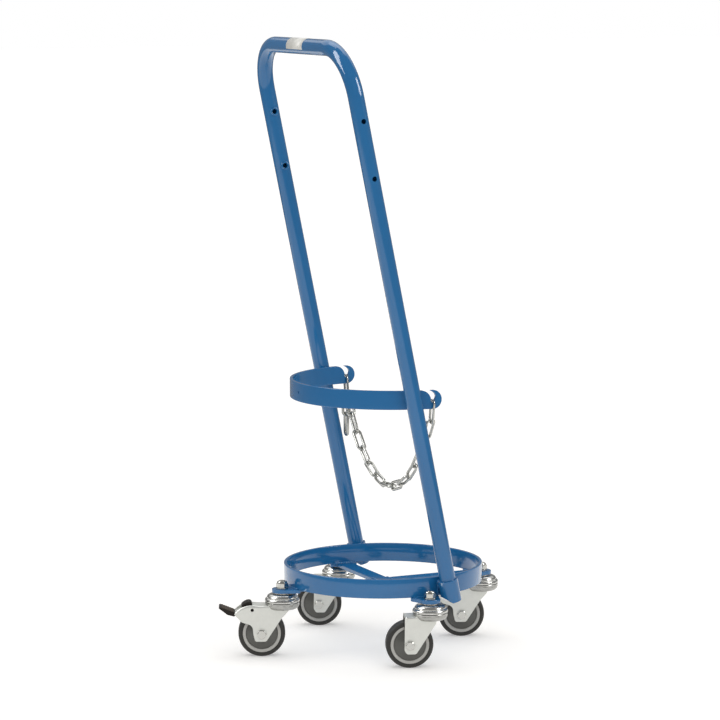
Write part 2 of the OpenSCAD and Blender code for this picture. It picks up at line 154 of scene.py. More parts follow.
def finish(name, build):
    """A material with one Principled shader. build gives its sockets from the place on the piece."""
    material = bpy.data.materials.new(name)
    material.use_nodes = True
    tree = material.node_tree
    shader = tree.nodes["Principled BSDF"]
    place = Wire(tree.nodes.new("ShaderNodeTexCoord").outputs["Object"])
    for socket, value in build(place).items():
        if isinstance(value, Wire):
            tree.links.new(value.socket, shader.inputs[socket])
        else:
            shader.inputs[socket].default_value = value
    print("finish", name, "with", len(tree.nodes), "nodes")
    return material


# %% [markdown]
# ## Blue powder coat
# The frame is coated with blue powder that melts into a glossy skin. Up close such a skin has a faint
# orange peel. The mesh could be roughened to show it, but a fine noise in a Bump node needs no extra faces.
# A slow noise varies the blue a little, and a clear coat on top gives the sharp highlight of melted powder.


# %% Blue powder coat
def powder_coat(place):
    cloud = place.noise(7, 3)
    speck = place.noise(1500, 1).ramp(0.68, 0.8)
    peel = place.noise(420, 2, 0.4)
    blue = (cloud * 0.8 + speck * 0.4).mix(srgb(22, 98, 153), srgb(39, 117, 175))
    return {
        "Base Color": blue,
        "Roughness": 0.1 + 0.06 * cloud,
        "Coat Weight": 0.4,
        "Coat Roughness": 0.05,
        "Normal": peel.bump(0.04, 0.0003),
    }


blue_paint = finish("blue_powder_coat", powder_coat)

# %% [markdown]
# ## Zinc
# The forks are pressed from sheet and then zinc plated, which leaves a pale satin metal with faint cloudy
# spangle. The heads and bowls are plated bright, with fine lines round them, and the chain lies between the
# two; the bowls are darker and more patchy, which is painted shade under the heads. A picture of plating
# could be wrapped round each piece, but noise has no seams and suits all of them.
# So all are one recipe: a tone, a polish, and the way in which its fine scratches are drawn out. Patches
# darken the tone here and there, and waves bend what the metal mirrors. Bolts, dark pins and bearing steel
# follow the same recipe.


# %% Zinc plate
def zinc(tone, polish, grain, drawn, depth, metal=1.0, patchy=0.2, wave=0.0002):
    def build(place):
        cloud = place.noise(90, 4, 0.6)
        scratch = place.stretched(*drawn).noise(2000, 2)
        shade = cloud * 0.7 + scratch * 0.3
        low = tuple((1 - patchy) * c for c in tone[:3]) + (1.0,)
        return {
            "Base Color": shade.mix(low, tone),
            "Metallic": metal,
            "Roughness": polish + grain * cloud,
            "Normal": (scratch + cloud * 0.5).bump(depth, wave),
        }

    return build


UPRIGHT = (1, 1, 0.08)
LEVEL = (0.03, 0.03, 0.3)
satin_zinc = finish(
    "satin_zinc_plate",
    zinc(srgb(236, 237, 231), polish=0.34, grain=0.16, drawn=UPRIGHT, depth=0.06, metal=0.7),
)
bright_zinc = finish(
    "bright_zinc_plate",
    zinc(srgb(228, 228, 224), polish=0.17, grain=0.1, drawn=LEVEL, depth=0.8, patchy=0.45, wave=0.0003),
)
# Darker and more patchy than the heads' zinc: drawn metal with painted shade and painted dark reflections under
# the head.
drawn_bowl_zinc_painted_shade = finish(
    "drawn_bowl_zinc_with_painted_shade",
    zinc(srgb(200, 200, 196), polish=0.16, grain=0.12, drawn=LEVEL, depth=1.0, patchy=0.6, wave=0.0007),
)
chain_zinc = finish(
    "chain_zinc_plate",
    zinc(srgb(192, 192, 187), polish=0.26, grain=0.02, drawn=UPRIGHT, depth=0.0, patchy=0.05),
)
bolt_zinc = finish(
    "bolt_zinc_plate", zinc(srgb(206, 206, 201), polish=0.14, grain=0.1, drawn=UPRIGHT, depth=0.1)
)
black_oxide = finish(
    "black_oxide", zinc(srgb(48, 47, 45), polish=0.4, grain=0.1, drawn=UPRIGHT, depth=0.05)
)
bearing_steel = finish(
    "bearing_steel", zinc(srgb(176, 176, 174), polish=0.2, grain=0.1, drawn=UPRIGHT, depth=0.05)
)

# %% [markdown]
# ## Rubber and plastics
# The tyre is grey-black rubber with a dull bloom, the core a light grey moulding, the thread guards a
# darker grey one, and the pedals are near black, with a paler top that is painted light from above. The
# label is a smooth film. One flat colour would do for each, but real mouldings are a little cloudy and have
# a fine spark texture, so one recipe mixes two tones by a slow and a fine noise.


# %% Rubber and plastics
def moulding(dark, light, rough, grain, depth, lacquer=0.0, shine=0.5):
    def build(place):
        cloud = place.noise(60, 3)
        fine = place.noise(grain, 2)
        return {
            "Base Color": (cloud * 0.7 + fine * 0.3).mix(dark, light),
            "Roughness": rough + 0.12 * fine,
            "Coat Weight": lacquer,
            "Coat Roughness": 0.2,
            "Specular IOR Level": shine,
            "Normal": fine.bump(depth, 0.0003),
        }

    return build


tread_rubber = finish(
    "tread_rubber", moulding(srgb(36, 35, 32), srgb(52, 51, 47), rough=0.5, grain=900, depth=0.12)
)
core_plastic = finish(
    "core_plastic", moulding(srgb(172, 171, 166), srgb(192, 191, 186), rough=0.4, grain=1400, depth=0.05)
)
guard_plastic = finish(
    "guard_plastic",
    moulding(srgb(70, 70, 66), srgb(88, 88, 83), rough=0.24, grain=1400, depth=0.06, lacquer=0.3),
)
pedal_plastic = finish(
    "pedal_plastic",
    moulding(srgb(24, 20, 17), srgb(42, 36, 30), rough=0.5, grain=800, depth=0.15, shine=0.25),
)
# A paler copy of the pedal moulding for its top: painted light where the light from above falls.
painted_light_plastic = finish(
    "painted_light_plastic",
    moulding(srgb(58, 50, 42), srgb(96, 84, 72), rough=0.55, grain=800, depth=0.15, shine=0.25),
)
label_film = finish(
    "label_film", moulding(srgb(222, 221, 214), srgb(236, 235, 229), rough=0.3, grain=500, depth=0.02)
)

# %% [markdown]
# ## Floor
# The photograph has a white studio floor with faint soft shadows. More light would whiten the floor but also
# bleach the trolley. So the floor is a diffuse sheet that also glows a little for the camera and for
# reflections: it is white without more light on the trolley and still keeps the shadow.

# %% Floor
FLOOR_SIZE = 60
FLOOR_GLOW = 0.3
FLOOR_TONE = srgb(234, 232, 229)
WHITE = (1, 1, 1, 1)

bpy.ops.object.select_all(action="DESELECT")
bpy.ops.mesh.primitive_plane_add(size=FLOOR_SIZE)
floor = bpy.context.object
floor.name = "studio_floor"
floor_paint = bpy.data.materials.new("studio_floor")
floor_paint.use_nodes = True
floor_tree = floor_paint.node_tree
floor_tree.nodes.remove(floor_tree.nodes["Principled BSDF"])
rays = floor_tree.nodes.new("ShaderNodeLightPath")
seen = (Wire(rays.outputs["Is Camera Ray"]) + Wire(rays.outputs["Is Glossy Ray"])).ramp(0, 1)
sheet = seen.node("ShaderNodeBsdfDiffuse", None, {"Color": FLOOR_TONE})
glow = seen.node("ShaderNodeEmission", None, {"Color": WHITE, "Strength": seen * FLOOR_GLOW})
floor_look = seen.node("ShaderNodeAddShader", None, {0: sheet, 1: glow})
floor_tree.links.new(floor_look.socket, floor_tree.nodes["Material Output"].inputs["Surface"])
floor.data.materials.append(floor_paint)
print("floor", FLOOR_SIZE, "m")

# %% [markdown]
# ## Sky and suns
# The studio round the trolley is white. A white world would also light it from all sides and wash the
# shadows out, so the world is white where the camera or a reflection sees it and dimmer as a light.
# Broad suns light the floor evenly as far as it goes, where a lamp would leave a bright pool.

# %% Sky
SKY_FILL = 0.6
world = bpy.data.worlds.new("studio")
bpy.context.scene.world = world
world.use_nodes = True
sky = world.node_tree.nodes["Background"]
sky_rays = world.node_tree.nodes.new("ShaderNodeLightPath")
sky_seen = Wire(sky_rays.outputs["Is Camera Ray"]) + Wire(sky_rays.outputs["Is Glossy Ray"])
sky_all = (sky_seen + Wire(sky_rays.outputs["Is Transmission Ray"])).ramp(0, 1)
sky_level = SKY_FILL + (1 - SKY_FILL) * sky_all
sky.inputs["Color"].default_value = WHITE
world.node_tree.links.new(sky_level.socket, sky.inputs["Strength"])
print("sky fills with", SKY_FILL)


# %% Suns
def broad_sun(name, towards, strength, spread):
    """A sun that shines towards a direction, as wide as a soft box."""
    bpy.ops.object.light_add(type="SUN")
    sun = bpy.context.object
    sun.name = name
    sun.data.energy = strength
    sun.data.angle = math.radians(spread)
    sun.rotation_euler = Vector(towards).to_track_quat("-Z", "Y").to_euler()
    print("sun", name, strength)


broad_sun("key_sun", (0.3, -0.05, -1.0), strength=0.8, spread=60)
broad_sun("fill_sun", (-0.85, 0.3, -0.5), strength=0.75, spread=90)

# %% [markdown]
# ## Selecting and drawing
# An operator works on what is selected, so every step starts from a clean selection. Many shapes here start
# as a line of points. It could be built from a list with the mesh data calls, but extruding one vertex from
# point to point is what a modeller does by hand, and it leaves the line selected for the next operator.


# %% Selecting
def rest_selection():
    """Leaves edit mode and deselects everything."""
    if bpy.context.object and bpy.context.object.mode != "OBJECT":
        bpy.ops.object.mode_set(mode="OBJECT")
    bpy.ops.object.select_all(action="DESELECT")


def pick(piece):
    """Makes one piece the selected and active one."""
    rest_selection()
    piece.select_set(True)
    bpy.context.view_layer.objects.active = piece


def choose(piece, kind, wanted):
    """Enters edit mode with those faces or edges selected that are wanted."""
    pick(piece)
    bpy.ops.object.mode_set(mode="EDIT")
    bpy.ops.mesh.select_mode(type=kind)
    bpy.ops.mesh.select_all(action="DESELECT")
    bpy.ops.object.mode_set(mode="OBJECT")
    for part in piece.data.polygons if kind == "FACE" else piece.data.edges:
        part.select = wanted(part)
    bpy.ops.object.mode_set(mode="EDIT")


# %% Drawing a line and closing a shell
DOUBLES = 0.002


def drawn_line(name, points):
    """A line through points in millimetres, extruded from one vertex and left in edit mode."""
    rest_selection()
    bpy.ops.mesh.primitive_circle_add(vertices=3, radius=MM)
    piece = bpy.context.object
    piece.name = name
    bpy.ops.object.mode_set(mode="EDIT")
    bpy.ops.mesh.select_mode(type="VERT")
    bpy.ops.mesh.select_all(action="SELECT")
    bpy.ops.mesh.merge(type="CENTER")
    bpy.ops.transform.translate(value=Vector(points[0]) * MM)
    for a, b in zip(points, points[1:]):
        step = (Vector(b) - Vector(a)) * MM
        bpy.ops.mesh.extrude_vertices_move(TRANSFORM_OT_translate={"value": step})
    bpy.ops.mesh.select_all(action="SELECT")
    return piece


def tidy_shell(piece):
    """Merges doubles, turns the faces outwards and leaves edit mode."""
    bpy.ops.mesh.select_all(action="SELECT")
    bpy.ops.mesh.remove_doubles(threshold=DOUBLES * MM)
    bpy.ops.mesh.normals_make_consistent(inside=False)
    bpy.ops.object.mode_set(mode="OBJECT")
    return piece


def arc(centre, radius, start, end, steps=8):
    """Points on an arc, in the plane of a profile."""
    angles = [math.radians(start + (end - start) * k / steps) for k in range(steps + 1)]
    return [(centre[0] + radius * math.cos(a), centre[1] + radius * math.sin(a)) for a in angles]


# %% [markdown]
# ## Cards for reflections
# Bright metal and gloss show the room rather than their own colour. The photograph's highlights come from
# two soft boxes, left and right of the trolley, and a broad light high behind it. The rest of that room is
# dark, apart from the white sheet on the floor. Lamps of that kind would also change the even light on the
# paint. So a dark shell with a gap high at the back and two glowing boards stand in for the room, and only
# reflections see them.


# %% A stage piece that only reflections see
def reflected_only(card, level):
    """Gives a stage piece an even glow and hides it from all but glossy rays."""
    paint = bpy.data.materials.new(card.name)
    paint.use_nodes = True
    tree = paint.node_tree
    tree.nodes.remove(tree.nodes["Principled BSDF"])
    lamp = tree.nodes.new("ShaderNodeEmission")
    lamp.inputs["Strength"].default_value = level
    tree.links.new(lamp.outputs["Emission"], tree.nodes["Material Output"].inputs["Surface"])
    card.data.materials.append(paint)
    card.visible_camera = False
    card.visible_diffuse = False
    card.visible_transmission = False
    card.visible_shadow = False
    print("card", card.name, "glows at", level)


# %% Dark room
UP = (0, 0, 1)
SHEET_R = 2500
OVER_FLOOR = 2
ROOM_R = 9000
ROOM_LEVEL = 0.25
BACK_HALF = math.radians(55)
BACK_LOW = 4200
BACK_TOP = 8500

dome = [(r, 0, z + OVER_FLOOR) for r, z in arc((0, 0), ROOM_R, 0, 88, 22)]
room = drawn_line("dark_room", [(SHEET_R, 0, OVER_FLOOR)] + dome)
bpy.ops.mesh.spin(steps=72, angle=2 * math.pi, center=(0, 0, 0), axis=UP)
tidy_shell(room)


def in_back_light(face):
    """Whether a face of the shell is in the gap through which the back light comes."""
    aside = (math.atan2(face.center.y, face.center.x) - HEADING + math.pi) % (2 * math.pi) - math.pi
    return abs(aside) < BACK_HALF and BACK_LOW * MM < face.center.z < BACK_TOP * MM


choose(room, "FACE", in_back_light)
bpy.ops.mesh.delete(type="FACE")
bpy.ops.object.mode_set(mode="OBJECT")
reflected_only(room, ROOM_LEVEL)

# %% Soft boxes
BOX_AWAY = 2.5


def soft_box(name, azimuth, low, high, width, level):
    """A glowing upright sheet at an azimuth round the trolley, between two heights in metres."""
    turn = math.radians(azimuth)
    middle = (BOX_AWAY * math.cos(turn), BOX_AWAY * math.sin(turn), (low + high) / 2)
    facing = (math.pi / 2, 0, turn + math.pi / 2)
    rest_selection()
    bpy.ops.mesh.primitive_plane_add(size=1, location=middle, rotation=facing)
    box = bpy.context.object
    box.name = name
    box.scale = (width, high - low, 1)
    reflected_only(box, level)


soft_box("left_box", azimuth=-104, low=1.2, high=4.6, width=1.2, level=7.0)
soft_box("right_box", azimuth=48, low=1.15, high=2.5, width=1.2, level=9.0)

# %% [markdown]
# ## Base ring
# The ring is a strip of 30 by 5 mm rolled on edge. A torus could be squashed into it, but turning the
# strip's section round the ring's axis keeps the walls flat and gives the edges the round that rolled strip
# has.


# %% Turning a profile
def smooth(piece, angle=40):
    """Shades a piece smooth, apart from edges sharper than an angle."""
    pick(piece)
    bpy.ops.object.shade_smooth_by_angle(angle=math.radians(angle))
    return piece


def turned(name, points, centre, axis, steps=96):
    """A closed profile spun once round an axis, as on a lathe."""
    piece = drawn_line(name, list(points) + [points[0]])
    bpy.ops.mesh.remove_doubles(threshold=DOUBLES * MM)
    bpy.ops.mesh.spin(steps=steps, angle=2 * math.pi, center=Vector(centre) * MM, axis=axis)
    return smooth(tidy_shell(piece))


def strip_section(inner, outer, low, high, edge):
    """A strip's cross-section with rounded edges, as distance from an axis and height."""
    return (
        arc((outer - edge, low + edge), edge, -90, 0, 3)
        + arc((outer - edge, high - edge), edge, 0, 90, 3)
        + arc((inner + edge, high - edge), edge, 90, 180, 3)
        + arc((inner + edge, low + edge), edge, 180, 270, 3)
    )


# %% Taking the place of a CAD node
def span(node):
    """The low and the high corner of a CAD node in millimetres."""
    low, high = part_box(node)
    return Vector(low) / MM, Vector(high) / MM


def dress(piece, body, material):
    """The piece rides on a body and takes a finish."""
    piece.data.materials.clear()
    piece.data.materials.append(material)
    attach(piece, body)
    print(piece.name, "rides", body, "with", len(piece.data.polygons), "faces")


def settle(piece, node, material):
    """The piece stands for a CAD node and rides on its body."""
    dress(piece, body_of_node[node], material)
    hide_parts(node)


# %% Base ring
STRIP_T = 5
STRIP_EDGE = 0.9
RING_STEPS = 192
ring_low, ring_high = span("base_ring")
ring_mid = (ring_low + ring_high) / 2
ring_r = (ring_high.x - ring_low.x) / 2
ring_section = strip_section(ring_r - STRIP_T, ring_r, ring_low.z, ring_high.z, STRIP_EDGE)
ring_line = [(ring_mid.x + r, ring_mid.y, z) for r, z in ring_section]
ring = turned("rolled_ring", ring_line, ring_mid, UP, RING_STEPS)
settle(ring, "base_ring", blue_paint)

# %% [markdown]
# ## Retaining band
# The band is the same strip, bent to half a circle, with a hook sawn in each end. It could be spun by half a
# turn, but a full ring cut in half with Bisect has closed ends at once. Those are extruded a little, and one
# cutter that reaches across both ends saws the hooks, so that they match.

# %% Half ring
band_low, band_high = span("retaining_band")
band_r = (band_high.x - band_low.x) / 2
band_mid = Vector((ring_mid.x, band_low.y + band_r, (band_low.z + band_high.z) / 2))
band_section = strip_section(band_r - STRIP_T, band_r, band_low.z, band_high.z, STRIP_EDGE)
band_line = [(band_mid.x + r, band_mid.y, z) for r, z in band_section]
band = turned("hooked_band", band_line, band_mid, UP, RING_STEPS)
pick(band)
bpy.ops.object.mode_set(mode="EDIT")
bpy.ops.mesh.select_all(action="SELECT")
bpy.ops.mesh.bisect(plane_co=band_mid * MM, plane_no=(0, 1, 0), use_fill=True, clear_outer=True)
choose(band, "FACE", lambda face: face.center.y > (band_mid.y - 0.01) * MM)
bpy.ops.mesh.extrude_region_move(TRANSFORM_OT_translate={"value": (0, STRIP_T * MM, 0)})
tidy_shell(band)
print("half ring of radius", round(band_r, 2))


# %% Placing, cutting and rounding
def at(piece, place):
    """Moves a piece by a matrix and puts the place into its mesh."""
    pick(piece)
    piece.matrix_world = place
    bpy.ops.object.transform_apply(location=True, rotation=True, scale=True)
    return piece


def apply(piece, kind, **settings):
    """Adds a modifier, sets it up and applies it."""
    pick(piece)
    modifier = piece.modifiers.new(kind.lower(), kind)
    for name, value in settings.items():
        setattr(modifier, name, value)
    bpy.ops.object.modifier_apply(modifier=modifier.name)


def combine(piece, tool, operation):
    """Cuts with, or keeps the share of, a second piece, which is used up."""
    apply(piece, "BOOLEAN", object=tool, operation=operation, solver="EXACT")
    bpy.data.objects.remove(tool)
    return piece


def soften(piece, width, segments=3, angle=30):
    """Rounds the sharp edges and shades them so that flat faces stay flat."""
    limit = math.radians(angle)
    apply(piece, "BEVEL", width=width * MM, segments=segments, limit_method="ANGLE", angle_limit=limit)
    smooth(piece)
    apply(piece, "WEIGHTED_NORMAL", weight=100, keep_sharp=True)
    return piece


# %% Plates and rods
def plate(name, outline, start, end, across="Y"):
    """An outline filled and extruded: in X and Z across Y, or in Y and Z across X."""
    along = Vector((0, 1, 0)) if across == "Y" else Vector((1, 0, 0))
    flat = [(u, 0, v) if across == "Y" else (0, u, v) for u, v in outline]
    piece = drawn_line(name, [Vector(point) + start * along for point in flat])
    bpy.ops.mesh.edge_face_add()
    bpy.ops.mesh.extrude_region_move(TRANSFORM_OT_translate={"value": (end - start) * MM * along})
    return tidy_shell(piece)


def rod(name, start, end, radius, sides=48):
    """A round bar between two points in millimetres."""
    rest_selection()
    along = Vector(end) - Vector(start)
    bpy.ops.mesh.primitive_cylinder_add(vertices=sides, radius=radius * MM, depth=along.length * MM)
    piece = bpy.context.object
    piece.name = name
    turn = along.to_track_quat("Z", "Y").to_matrix().to_4x4()
    return at(piece, Matrix.Translation((Vector(start) + along / 2) * MM) @ turn)


# %% Hooks
HOOK_R = 15
SEAT_R = 3.5
SEAT_DROP = 1.3
NOSE_TURN = 107
NOSE_INSIDE = ((0.2, 11.9), (3.4, 9.0), (5.0, 6.2), (4.9, 3.4), (3.9, 0.8))
SHOULDER_R = 17
SHOULDER_END = 15
SAW_OVER = 1
SAW_ASIDE = 5
REAR_HOLE_R = 2
hook_y = band_high.y - HOOK_R
saw_y = hook_y + 2 * HOOK_R
saw_top = band_high.z + SAW_OVER
saw_foot = band_low.z - SAW_OVER
shoulder_y = hook_y - SEAT_R - SHOULDER_R * math.cos(math.radians(SHOULDER_END))
saw = (
    arc((shoulder_y, band_high.z - SHOULDER_R), SHOULDER_R, SHOULDER_END, 90)
    + [(shoulder_y, saw_top), (saw_y, saw_top), (saw_y, saw_foot), (hook_y, saw_foot)]
    + arc((hook_y, band_mid.z), HOOK_R, -90, NOSE_TURN, 40)
    + [(hook_y + y, band_mid.z + z) for y, z in NOSE_INSIDE]
    + arc((hook_y, band_mid.z - SEAT_DROP), SEAT_R, 10, -180, 20)
)
hook_saw = plate("hook_saw", saw, band_low.x - SAW_ASIDE, band_high.x + SAW_ASIDE, "X")
combine(band, hook_saw, "DIFFERENCE")
rear_drill = rod("band_drill", band_mid, (band_mid.x, band_low.y - 10, band_mid.z), REAR_HOLE_R)
combine(band, rear_drill, "DIFFERENCE")
settle(soften(band, width=0.7, angle=50), "retaining_band", blue_paint)

# %% [markdown]
# ## Handle
# The handle is one tube with two bends. A curve with a round bevel could draw it, but here a ring of points
# is extruded up a leg, spun round the bend, drawn along the top bar and down again, as a bending machine
# feeds the tube, and each bend has its exact radius. Solidify then gives the wall, and drills make the cross
# holes. The tube is drawn upright and leaned with one matrix at the end.

# %% Sizes of the handle
LEAN = math.radians(11.43)
FOOT_Y = 58.6
TUBE_R = 12.7
TUBE_WALL = 2.3
BEND_R = 75
LEG_FOOT = 115.1
tube_low, tube_high = span("handle_tube")
leg_x = (tube_high.x - tube_low.x) / 2 - TUBE_R
grip_s = (tube_high.z - TUBE_R) / math.cos(LEAN)
grip_half = leg_x - BEND_R
bend_s = grip_s - BEND_R
lean_foot = Vector((ring_mid.x, ring_mid.y + FOOT_Y, 0)) * MM
leaning = Matrix.Translation(lean_foot) @ Matrix.Rotation(LEAN, 4, "X")
print("legs", round(2 * leg_x, 2), "apart, bends start", round(bend_s, 2), "up the leg")


# %% Bent tube
def draw_tube(x, z):
    """Extrudes the open end of the tube by a step in millimetres."""
    bpy.ops.mesh.extrude_edges_move(TRANSFORM_OT_translate={"value": (x * MM, 0, z * MM)})


def bend_tube(x):
    """Turns the open end by a quarter round a centre at the height where the bends start."""
    centre = Vector((x, 0, bend_s)) * MM
    bpy.ops.mesh.spin(steps=24, angle=math.pi / 2, center=centre, axis=(0, 1, 0))


rest_selection()
foot_spot = Vector((leg_x, 0, LEG_FOOT)) * MM
bpy.ops.mesh.primitive_circle_add(vertices=64, radius=TUBE_R * MM, location=foot_spot)
tube = bpy.context.object
tube.name = "bent_tube"
at(tube, tube.matrix_world.copy())
bpy.ops.object.mode_set(mode="EDIT")
bpy.ops.mesh.select_all(action="SELECT")
draw_tube(0, bend_s - LEG_FOOT)
bend_tube(grip_half)
draw_tube(-2 * grip_half, 0)
bend_tube(-grip_half)
draw_tube(0, LEG_FOOT - bend_s)
tidy_shell(tube)
apply(tube, "SOLIDIFY", thickness=TUBE_WALL * MM, offset=-1)
print("tube with", len(tube.data.polygons), "faces")

# %% Cross holes
HOLES_S = (876.38, 786.38)
HOLE_R = 4
DRILL_PAST = 20
for hole_s in HOLES_S:
    drill_end = leg_x + DRILL_PAST
    drill = rod("leg_drill", (-drill_end, 0, hole_s), (drill_end, 0, hole_s), HOLE_R)
    combine(tube, drill, "DIFFERENCE")
settle(soften(at(tube, leaning), width=0.5), "handle_tube", blue_paint)

# %% [markdown]
# ## Raised rims
# Where the punch came through, the inner side of each leg has a low collar round the hole, under the paint.
# The wall could be pulled up round each hole in edit mode, but a small turned collar that sinks into the
# wall looks the same under one coat, and all four are alike.


# %% Raised rims round the holes
def joined(pieces):
    """Joins pieces into the first of them."""
    pick(pieces[0])
    for piece in pieces[1:]:
        piece.select_set(True)
    bpy.ops.object.join()
    return bpy.context.object


RIM_SINK = 0.4
RIM_FOOT = [(HOLE_R + 0.1, -2.6), (HOLE_R + 3.0, -2.6), (HOLE_R + 3.0, 0.0)]
RIM_TOP = arc((HOLE_R + 1.7, 0.6), 1.3, 0, 90, 5) + arc((HOLE_R + 0.9, 1.1), 0.8, 90, 180, 4)
rims = []
for side in (-1, 1):
    for hole_s in HOLES_S:
        wall = side * (leg_x - TUBE_R + RIM_SINK)
        rim_line = [(wall - side * out, r, hole_s) for r, out in RIM_FOOT + RIM_TOP]
        rims.append(turned("hole_rim", rim_line, (wall, 0, hole_s), (1, 0, 0), 32))
hole_rims = at(joined(rims), leaning)
hole_rims.name = "hole_rims"
dress(hole_rims, "frame", blue_paint)

# %% [markdown]
# ## Bars and sleeves
# The bars and sleeves could be modelled anew, but the CAD shape is exact, so it is kept. Cut bar never has
# knife edges, so each is copied, merged and given a small round with Bevel. Powder coat softens those edges
# further.


# %% A copy of a CAD node
def cad_copy(node, flats=True):
    """A merged copy of a CAD node's mesh. Its flat faces are made whole where it has them."""
    rest_selection()
    piece = bpy.data.objects.new(node + "_dressed", frame["nodes"][node].data.copy())
    bpy.context.scene.collection.objects.link(piece)
    pick(piece)
    bpy.ops.object.mode_set(mode="EDIT")
    bpy.ops.mesh.select_all(action="SELECT")
    bpy.ops.mesh.remove_doubles(threshold=DOUBLES * MM)
    if flats:
        bpy.ops.mesh.dissolve_limited(angle_limit=math.radians(0.4))
    bpy.ops.object.mode_set(mode="OBJECT")
    return piece


# %% Bars, sleeves and washers
for node in ("cross_bar_side", "cross_bar_front", "cross_bar_rear", "sleeve_left", "sleeve_right"):
    settle(soften(cad_copy(node), width=0.8), node, blue_paint)
settle(soften(cad_copy("caster_washers"), width=0.3), "caster_washers", bolt_zinc)

# %% [markdown]
# ## Welds
# A weld is a row of overlapping puddles. A bent tube would look like piping. So each puddle is a small ball,
# and a voxel Remesh melts the row into one bead with the ripple that a real bead has. Rows run where the
# strip meets bars, sleeves and legs, and where the bars cross.


# %% Weld rows
def bead_row(points, size):
    """Balls along a line through points in millimetres, a little uneven as by hand."""
    balls = []
    for a, b in zip(points, points[1:]):
        run = Vector(b) - Vector(a)
        count = max(2, round(run.length / (0.8 * size)))
        for k in range(count):
            swell = 1 + 0.14 * math.sin(2.3 * (len(balls) + run.length))
            rest_selection()
            spot = (Vector(a) + run * k / count) * MM
            bpy.ops.mesh.primitive_ico_sphere_add(subdivisions=2, radius=size * swell * MM, location=spot)
            balls.append(bpy.context.object)
    return balls


def on_circle(middle, radius, angle, z):
    turn = math.radians(angle)
    return (middle.x + radius * math.cos(turn), middle.y + radius * math.sin(turn), z)


def on_side(angle, side):
    """An angle on the right side, or its mirror image on the left."""
    return angle if side > 0 else 180 - angle


# %% Weld beads
BAR_BEAD = 1.7
SLEEVE_BEAD = 2.0
BAND_BEAD = 1.8
BAR_TURNS = (-7, -2.5, 2.5, 7)
SLEEVE_TURN = 2.9
BAND_TURN = 0.8 * SLEEVE_TURN
PROUD = 0.6
BAR_HALF = 12.5
CROSSING_HALF = 11
bead_balls = []
for arm in (0, 90, 180, 270):
    for radius in (ring_r, ring_r - STRIP_T):
        curve = [on_circle(ring_mid, radius, arm + turn, ring_low.z + 0.2) for turn in BAR_TURNS]
        bead_balls += bead_row(curve, BAR_BEAD)
sleeve_y = FOOT_Y - ring_mid.z * math.tan(LEAN)
sleeve_angle = math.degrees(math.atan2(sleeve_y, leg_x))
band_leg_y = ring_mid.y + FOOT_Y - band_mid.z * math.tan(LEAN) - band_mid.y
band_angle = math.degrees(math.atan2(band_leg_y, leg_x))
for side in (1, -1):
    for edge in (-1, 1):
        angle = on_side(sleeve_angle + edge * SLEEVE_TURN, side)
        feet = [on_circle(ring_mid, ring_r + PROUD, angle, z) for z in (ring_low.z + 4, ring_high.z - 4)]
        bead_balls += bead_row(feet, SLEEVE_BEAD)
        angle = on_side(band_angle + edge * BAND_TURN, side)
        ends = [on_circle(band_mid, band_r + PROUD, angle, z) for z in (band_low.z + 3, band_high.z - 3)]
        bead_balls += bead_row(ends, BAND_BEAD)
    bar_y = ring_mid.y + side * BAR_HALF
    crossing = [(ring_mid.x + x, bar_y, ring_low.z) for x in (-CROSSING_HALF, CROSSING_HALF)]
    bead_balls += bead_row(crossing, BAR_BEAD)
welds = joined(bead_balls)
welds.name = "weld_beads"
at(welds, welds.matrix_world.copy())
apply(welds, "REMESH", mode="VOXEL", voxel_size=0.45 * MM)
smooth(welds, 180)
dress(welds, "frame", blue_paint)

# %% [markdown]
# ## Casters
# All four casters have the same head and wheel, and two kinds of fork. Modelling each in its place would
# make four of everything. So each piece is modelled once, with the swivel axis at the origin and the wheel
# trailing along X, and a matrix from the joints of a caster then places a copy.


# %% Where the casters stand
def corner(name):
    """From the pattern's frame to a caster: X trails, Y is the axle and Z is up."""
    swivel = Vector(joint["swivel_" + name]["pos_m"])
    wheel = Vector(joint["roll_" + name]["pos_m"])
    trail = Vector((wheel.x - swivel.x, wheel.y - swivel.y, 0)).normalized()
    axle = Vector(joint["roll_" + name]["axis"])
    turn = Matrix((trail, axle, UP)).transposed().to_4x4()
    return Matrix.Translation((swivel.x, swivel.y, 0)) @ turn


CORNERS = {name: corner(name) for name in ("rear", "right", "front", "left")}
BRAKED = ("rear", "front")
UNBRAKED = ("right", "left")
for name, place in CORNERS.items():
    print(name, "caster at", tuple(round(c, 3) for c in place.translation))

# %% Copies of a pattern
ACROSS = (0, 1, 0)
patterns = []


def copy_of(pattern, name, place):
    """A copy of a pattern with a mesh of its own, at a place."""
    piece = bpy.data.objects.new(name, pattern.data.copy())
    bpy.context.scene.collection.objects.link(piece)
    return at(piece, place)


def cast(pattern, kind, names, material):
    """Copies a pattern to the casters that have it."""
    for name in names:
        node = kind + "_" + name
        settle(copy_of(pattern, node + "_piece", CORNERS[name]), node, material)
    patterns.append(pattern)


def about_swivel(name, profile):
    """Turns a profile of radius and height about the swivel axis."""
    return turned(name, [(r, 0, z) for r, z in profile], (0, 0, 0), UP)


# %% [markdown]
# ## Swivel heads
# A head is a cap pressed in two steps, with a rolled lip over a race of balls. It could be built up from
# cylinders, but all of it is round, so one profile turned about the swivel axis gives every step and lip.

# %% Swivel head
BALL_RACE = (18.5, 87.2)
RACE_R = 4.2
head_line = (
    [(5.2, 75.2), (11.5, 75.2), (11.5, 76.7), (7.5, 76.7), (7.5, 87.4)]
    + arc(BALL_RACE, RACE_R, 180, 0, 10)
    + [(27.0, 87.4)]
    + arc((26.8, 88.6), 1.2, -80, 10, 4)
    + arc((23.8, 89.6), 4.2, 5, 62, 5)
    + [(25.3, 93.4), (24.7, 93.8), (24.9, 94.4)]
    + arc((18.6, 93.2), 6.4, 20, 84, 7)
    + [(15.0, 99.8), (13.0, 99.9), (13.0, 101.7), (12.6, 102.0), (5.2, 102.0)]
)
cast(about_swivel("head_pattern", head_line), "swivel_head", CORNERS, bright_zinc)

